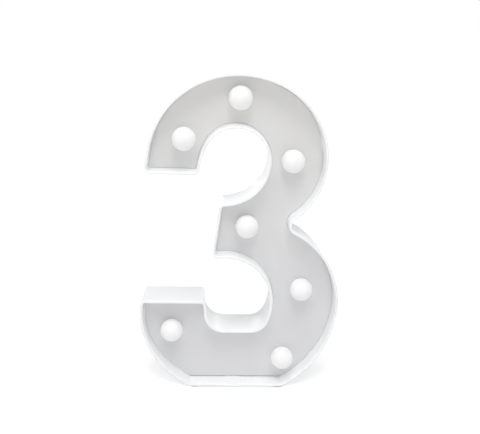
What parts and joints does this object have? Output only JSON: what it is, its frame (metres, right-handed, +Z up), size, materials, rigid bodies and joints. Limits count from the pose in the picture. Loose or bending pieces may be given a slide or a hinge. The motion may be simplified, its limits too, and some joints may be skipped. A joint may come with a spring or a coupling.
{
  "type": "light up marquee number",
  "caption": "Free-standing marquee numeral three: deep white tray with a recessed face panel and round lamp globes, battery bay, slide switch and hanging slot in its back.",
  "frame": {"origin": "middle of the bounding box at the level of the flat base", "axes": "+Z up, the numeral faces -Y, +X to its right as it is read"},
  "size_m": [0.137, 0.0332, 0.22],
  "materials": {
    "white_case": "satin moulded white",
    "grey_panel": "satin light grey",
    "frosted_globe": "milky, frosted",
    "white_plug": "moulded",
    "led_body": "clear with a warm tint",
    "screw_steel": "zinc plated",
    "cell_jacket": "plain printed film over a metal can",
    "nickel_contact": "nickel plated",
    "switch_steel": "tinned",
    "switch_board": "brown laminate",
    "black_knob": "moulded black",
    "black_wire": "insulated",
    "red_wire": "insulated",
    "resistor_body": "lacquered"
  },
  "bodies": {
    "case": {"tray_shell": "white_case", "face_panel": "grey_panel", "bulb_cap_1": "frosted_globe", "bulb_cap_2": "frosted_globe", "bulb_cap_3": "frosted_globe", "bulb_cap_4": "frosted_globe", "bulb_cap_5": "frosted_globe", "bulb_cap_6": "frosted_globe", "bulb_cap_7": "frosted_globe", "led_plug_1": "white_plug", "led_plug_2": "white_plug", "led_plug_3": "white_plug", "led_plug_4": "white_plug", "led_plug_5": "white_plug", "led_plug_6": "white_plug", "led_plug_7": "white_plug", "led_1": "led_body", "led_2": "led_body", "led_3": "led_body", "led_4": "led_body", "led_5": "led_body", "led_6": "led_body", "led_7": "led_body", "panel_screws": "screw_steel", "battery_cell_1": "cell_jacket", "battery_cell_2": "cell_jacket", "positive_contact": "nickel_contact", "negative_contact": "nickel_contact", "bridge_contact": "nickel_contact", "contact_spring_1": "nickel_contact", "contact_spring_2": "nickel_contact", "switch_can": "switch_steel", "switch_base": "switch_board", "switch_pins": "switch_steel", "switch_screws": "screw_steel", "negative_lamp_wire": "black_wire", "positive_lamp_wire": "red_wire", "negative_link_wire": "black_wire", "battery_wire": "red_wire", "resistor": "resistor_body", "lamp_feed_wire": "red_wire"},
    "door": {"battery_door": "white_case"},
    "knob": {"switch_knob": "black_knob"}
  },
  "joints": [
    {"name": "door_hinge", "type": "hinge", "parent": "case", "child": "door", "pos_m": [-0.00603, 0.01655, 0.005], "axis": [-1, 0, 0], "range_deg": [0, 75]},
    {"name": "switch_slide", "type": "slide", "parent": "case", "child": "knob", "axis": [1, 0, 0], "range_m": [0, 0.003]}
  ]
}
